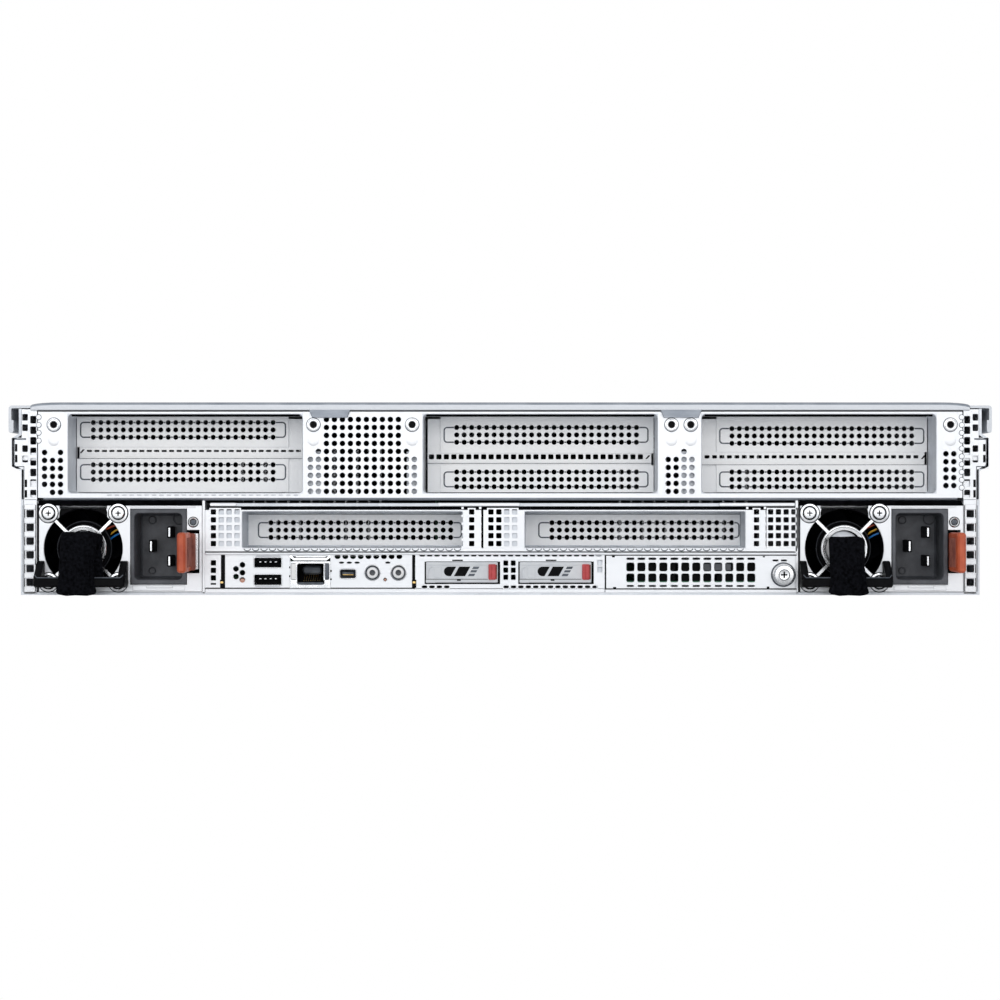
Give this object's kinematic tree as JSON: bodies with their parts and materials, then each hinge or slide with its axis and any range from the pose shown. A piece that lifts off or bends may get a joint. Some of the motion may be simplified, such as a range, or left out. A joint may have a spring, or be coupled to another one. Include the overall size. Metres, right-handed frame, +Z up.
{
  "type": "two-unit rack server",
  "caption": "Two-unit rack server with slot windows above hot-swap supplies, ports, slim boot drives and a network card at the rear.",
  "frame": {"origin": "middle of the underside of the whole machine", "axes": "+Y towards the drives at the front, -Y out of the rear panel, +Z up, +X to the right seen from behind"},
  "size_m": [0.4826, 0.79, 0.087],
  "materials": {
    "zinc_steel": "bright zinc-plated sheet",
    "cover_steel": "satin zinc-plated sheet",
    "port_metal": "bright nickel plate",
    "black_plastic": "moulded, fine texture",
    "terracotta_plastic": "moulded, satin",
    "red_plastic": "moulded, satin",
    "grey_plastic": "moulded, satin",
    "strap_fabric": "woven hook-and-loop tape",
    "circuit_board": "solder-masked board",
    "fin_aluminium": "extruded and folded fins"
  },
  "bodies": {
    "root": {"chassis_pan": "zinc_steel", "rear_frame": "zinc_steel", "riser_cage_left": "zinc_steel", "riser_cage_middle": "zinc_steel", "riser_cage_right": "zinc_steel", "slot_covers": "zinc_steel", "riser_screws": "zinc_steel", "lower_slot_frame": "zinc_steel", "io_panel": "zinc_steel", "usb_ports": "port_metal", "ethernet_port": "black_plastic", "display_port": "port_metal", "boot_drive_cage": "zinc_steel", "motherboard": "circuit_board", "processor_heatsinks": "fin_aluminium", "memory_modules": "circuit_board", "fan_frames": "zinc_steel", "drive_cage": "zinc_steel", "drive_backplane": "circuit_board", "front_vent_panel": "black_plastic", "rack_ears": "zinc_steel"},
    "cover": {"top_cover": "cover_steel"},
    "cover_lever": {"cover_lever": "zinc_steel"},
    "slam_latch_left": {"slam_latch_left": "black_plastic"},
    "slam_latch_right": {"slam_latch_right": "black_plastic"},
    "power_button": {"power_button": "grey_plastic"},
    "identify_button": {"identify_button": "port_metal"},
    "reset_button": {"reset_button": "port_metal"},
    "fan_rotor_1": {"fan_rotor_1": "black_plastic"},
    "fan_rotor_2": {"fan_rotor_2": "black_plastic"},
    "fan_rotor_3": {"fan_rotor_3": "black_plastic"},
    "fan_rotor_4": {"fan_rotor_4": "black_plastic"},
    "drive_carrier_1": {"drive_carrier_1": "black_plastic"},
    "drive_lever_1": {"drive_lever_1": "terracotta_plastic"},
    "drive_carrier_2": {"drive_carrier_2": "black_plastic"},
    "drive_lever_2": {"drive_lever_2": "terracotta_plastic"},
    "drive_carrier_3": {"drive_carrier_3": "black_plastic"},
    "drive_lever_3": {"drive_lever_3": "terracotta_plastic"},
    "drive_carrier_4": {"drive_carrier_4": "black_plastic"},
    "drive_lever_4": {"drive_lever_4": "terracotta_plastic"},
    "boot_drive_left": {"boot_drive_left": "grey_plastic"},
    "boot_latch_left": {"boot_latch_left": "red_plastic"},
    "boot_drive_right": {"boot_drive_right": "grey_plastic"},
    "boot_latch_right": {"boot_latch_right": "red_plastic"},
    "network_card": {"network_card": "zinc_steel"},
    "card_thumbscrew": {"card_thumbscrew": "port_metal"},
    "supply_left": {"supply_left_case": "zinc_steel", "supply_left_inlet": "black_plastic", "supply_left_fan": "black_plastic", "supply_left_handle": "black_plastic", "supply_left_strap": "strap_fabric"},
    "supply_left_rotor": {"supply_left_rotor": "black_plastic"},
    "supply_left_latch": {"supply_left_latch": "terracotta_plastic"},
    "supply_right": {"supply_right_case": "zinc_steel", "supply_right_inlet": "black_plastic", "supply_right_fan": "black_plastic", "supply_right_handle": "black_plastic", "supply_right_strap": "strap_fabric"},
    "supply_right_rotor": {"supply_right_rotor": "black_plastic"},
    "supply_right_latch": {"supply_right_latch": "terracotta_plastic"}
  },
  "joints": [
    {"name": "cover_lift", "type": "slide", "parent": "root", "child": "cover", "axis": [0, 0, 1], "range_m": [0, 0.12]},
    {"name": "cover_lever_swing", "type": "hinge", "parent": "cover", "child": "cover_lever", "pos_m": [0, 0.1761, 0.08318], "axis": [-1, 0, 0], "range_deg": [0, 80]},
    {"name": "slam_latch_left_swing", "type": "hinge", "parent": "root", "child": "slam_latch_left", "pos_m": [-0.2366, 0.3695, 0.0435], "axis": [0, 0, 1], "range_deg": [0, 60]},
    {"name": "slam_latch_right_swing", "type": "hinge", "parent": "root", "child": "slam_latch_right", "pos_m": [0.2366, 0.3695, 0.0435], "axis": [0, 0, -1], "range_deg": [0, 60]},
    {"name": "power_button_press", "type": "slide", "parent": "root", "child": "power_button", "axis": [0, -1, 0], "range_m": [0, 0.001], "stiffness_N_per_m": 600},
    {"name": "identify_button_press", "type": "slide", "parent": "root", "child": "identify_button", "axis": [0, 1, 0], "range_m": [0, 0.001], "stiffness_N_per_m": 600},
    {"name": "reset_button_press", "type": "slide", "parent": "root", "child": "reset_button", "axis": [0, 1, 0], "range_m": [0, 0.001], "stiffness_N_per_m": 600},
    {"name": "fan_rotor_1_spin", "type": "hinge", "parent": "root", "child": "fan_rotor_1", "pos_m": [-0.156, 0.09, 0.0412], "axis": [0, 1, 0], "continuous": true},
    {"name": "fan_rotor_2_spin", "type": "hinge", "parent": "root", "child": "fan_rotor_2", "pos_m": [-0.052, 0.09, 0.0412], "axis": [0, 1, 0], "continuous": true},
    {"name": "fan_rotor_3_spin", "type": "hinge", "parent": "root", "child": "fan_rotor_3", "pos_m": [0.052, 0.09, 0.0412], "axis": [0, 1, 0], "continuous": true},
    {"name": "fan_rotor_4_spin", "type": "hinge", "parent": "root", "child": "fan_rotor_4", "pos_m": [0.156, 0.09, 0.0412], "axis": [0, 1, 0], "continuous": true},
    {"name": "drive_carrier_1_slide", "type": "slide", "parent": "root", "child": "drive_carrier_1", "axis": [0, 1, 0], "range_m": [0, 0.17]},
    {"name": "drive_lever_1_swing", "type": "hinge", "parent": "drive_carrier_1", "child": "drive_lever_1", "pos_m": [-0.2003, 0.3605, 0.0173], "axis": [0, 0, 1], "range_deg": [0, 65]},
    {"name": "drive_carrier_2_slide", "type": "slide", "parent": "root", "child": "drive_carrier_2", "axis": [0, 1, 0], "range_m": [0, 0.17]},
    {"name": "drive_lever_2_swing", "type": "hinge", "parent": "drive_carrier_2", "child": "drive_lever_2", "pos_m": [-0.0931, 0.3605, 0.0173], "axis": [0, 0, 1], "range_deg": [0, 65]},
    {"name": "drive_carrier_3_slide", "type": "slide", "parent": "root", "child": "drive_carrier_3", "axis": [0, 1, 0], "range_m": [0, 0.17]},
    {"name": "drive_lever_3_swing", "type": "hinge", "parent": "drive_carrier_3", "child": "drive_lever_3", "pos_m": [0.0141, 0.3605, 0.0173], "axis": [0, 0, 1], "range_deg": [0, 65]},
    {"name": "drive_carrier_4_slide", "type": "slide", "parent": "root", "child": "drive_carrier_4", "axis": [0, 1, 0], "range_m": [0, 0.17]},
    {"name": "drive_lever_4_swing", "type": "hinge", "parent": "drive_carrier_4", "child": "drive_lever_4", "pos_m": [0.1213, 0.3605, 0.0173], "axis": [0, 0, 1], "range_deg": [0, 65]},
    {"name": "boot_drive_left_slide", "type": "slide", "parent": "root", "child": "boot_drive_left", "axis": [0, -1, 0], "range_m": [0, 0.11]},
    {"name": "boot_latch_left_swing", "type": "hinge", "parent": "boot_drive_left", "child": "boot_latch_left", "pos_m": [-0.0063, -0.3673, 0.01005], "axis": [0, 0, -1], "range_deg": [0, 60]},
    {"name": "boot_drive_right_slide", "type": "slide", "parent": "root", "child": "boot_drive_right", "axis": [0, -1, 0], "range_m": [0, 0.11]},
    {"name": "boot_latch_right_swing", "type": "hinge", "parent": "boot_drive_right", "child": "boot_latch_right", "pos_m": [0.036, -0.3673, 0.01005], "axis": [0, 0, -1], "range_deg": [0, 60]},
    {"name": "network_card_slide", "type": "slide", "parent": "root", "child": "network_card", "axis": [0, -1, 0], "range_m": [0, 0.11]},
    {"name": "card_thumbscrew_turn", "type": "hinge", "parent": "network_card", "child": "card_thumbscrew", "pos_m": [0.1279, -0.368, 0.0092], "axis": [0, 1, 0], "continuous": true},
    {"name": "supply_left_slide", "type": "slide", "parent": "root", "child": "supply_left", "axis": [0, -1, 0], "range_m": [0, 0.185]},
    {"name": "supply_left_rotor_spin", "type": "hinge", "parent": "supply_left", "child": "supply_left_rotor", "pos_m": [-0.1884, -0.354, 0.021], "axis": [0, 1, 0], "continuous": true},
    {"name": "supply_left_latch_press", "type": "hinge", "parent": "supply_left", "child": "supply_left_latch", "pos_m": [-0.1388, -0.36, 0.0195], "axis": [0, 0, -1], "range_deg": [0, 2.5], "stiffness_Nm_per_rad": 0.8},
    {"name": "supply_right_slide", "type": "slide", "parent": "root", "child": "supply_right", "axis": [0, -1, 0], "range_m": [0, 0.185]},
    {"name": "supply_right_rotor_spin", "type": "hinge", "parent": "supply_right", "child": "supply_right_rotor", "pos_m": [0.1555, -0.354, 0.021], "axis": [0, 1, 0], "continuous": true},
    {"name": "supply_right_latch_press", "type": "hinge", "parent": "supply_right", "child": "supply_right_latch", "pos_m": [0.2051, -0.36, 0.0195], "axis": [0, 0, -1], "range_deg": [0, 2.5], "stiffness_Nm_per_rad": 0.8}
  ]
}
